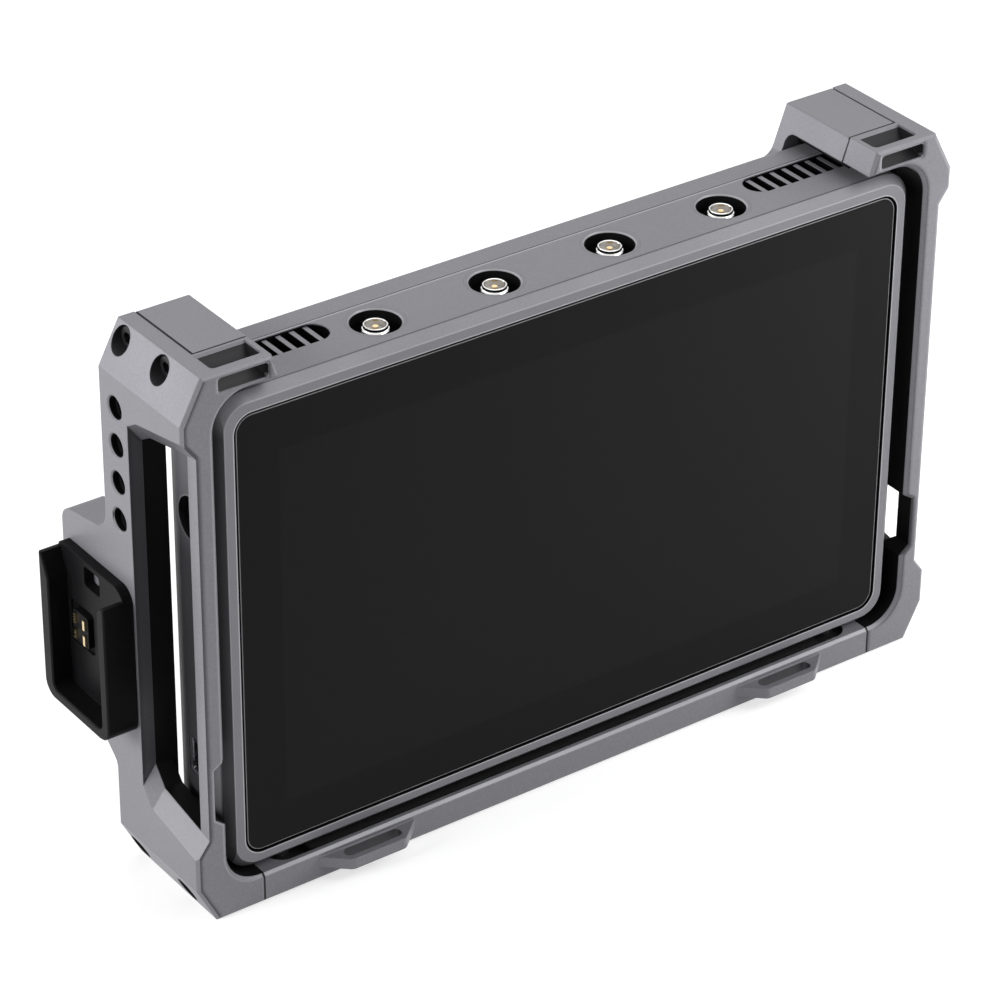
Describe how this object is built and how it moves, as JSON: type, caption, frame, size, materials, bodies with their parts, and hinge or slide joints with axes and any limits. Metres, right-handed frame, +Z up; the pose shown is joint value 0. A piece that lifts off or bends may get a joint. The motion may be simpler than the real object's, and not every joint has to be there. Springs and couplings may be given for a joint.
{
  "type": "camera_field_monitor",
  "caption": "Camera field monitor in a grey clamp cage, with coaxial antenna sockets and air grilles on top, side windows, a slide-in battery plate and strap lugs",
  "frame": {"origin": "mouth of the tripod thread in the middle of the underside of the bottom bar", "axes": "+X to the right as seen facing the screen, +Y to the back, +Z up; the screen faces -Y"},
  "size_m": [0.2115, 0.0559, 0.1346],
  "materials": {
    "cage_grey": "bead-blasted grey anodised",
    "housing_grey": "fine bead-blasted grey anodised",
    "bare_aluminium": "bare rolled sheet",
    "black_glass": "polished black glass",
    "dark_panel": "screen sheet, switched off",
    "black_plastic": "moulded, fine grain",
    "white_plastic": "smooth white",
    "black_rubber": "matt rubber",
    "black_steel": "black oxide",
    "bright_steel": "bright plated",
    "chrome": "bright nickel",
    "brass": "gold plated",
    "board_green": "coated circuit board"
  },
  "bodies": {
    "monitor_and_cage": {"front_bezel": "housing_grey", "middle_housing": "housing_grey", "rear_cover": "housing_grey", "cover_glass": "black_glass", "glass_gasket": "black_rubber", "lcd_panel": "dark_panel", "backlight": "white_plastic", "mid_plate": "bare_aluminium", "main_board": "board_green", "board_standoffs": "brass", "board_screws": "black_steel", "processors": "black_plastic", "heat_sink": "bare_aluminium", "radio_module": "bright_steel", "left_fan_housing": "black_plastic", "right_fan_housing": "black_plastic", "left_grille": "housing_grey", "right_grille": "housing_grey", "antenna_sockets": "chrome", "socket_insulators": "white_plastic", "socket_pins": "brass", "socket_nuts": "bright_steel", "audio_jack": "bright_steel", "usb_socket": "bright_steel", "power_switch": "black_plastic", "base_inserts": "brass", "monitor_screws": "black_steel", "left_side_frame": "cage_grey", "right_side_frame": "cage_grey", "battery_plate": "black_plastic", "contact_block": "black_plastic", "contact_blades": "brass", "plate_screws": "black_steel", "bottom_bar": "cage_grey", "bar_pad": "black_rubber", "pad_screws": "bright_steel", "left_clamp_jaw": "cage_grey", "right_clamp_jaw": "cage_grey", "left_jaw_pad": "black_rubber", "right_jaw_pad": "black_rubber", "clamp_jaw_screws": "black_steel", "bottom_bar_screws": "black_steel", "cover_screws": "black_steel", "mid_plate_screws": "bright_steel"},
    "left_rotor": {"left_fan_rotor": "black_plastic"},
    "right_rotor": {"right_fan_rotor": "black_plastic"},
    "button": {"power_button": "black_plastic"}
  },
  "joints": [
    {"name": "left_fan_spin", "type": "hinge", "parent": "monitor_and_cage", "child": "left_rotor", "pos_m": [-0.0665, 0.00575, 0.101], "axis": [0, 1, 0], "continuous": true},
    {"name": "right_fan_spin", "type": "hinge", "parent": "monitor_and_cage", "child": "right_rotor", "pos_m": [0.0665, 0.00575, 0.101], "axis": [0, 1, 0], "continuous": true},
    {"name": "power_button_press", "type": "slide", "parent": "monitor_and_cage", "child": "button", "axis": [-1, 0, 0], "range_m": [0, 0.0006], "stiffness_N_per_m": 600}
  ]
}
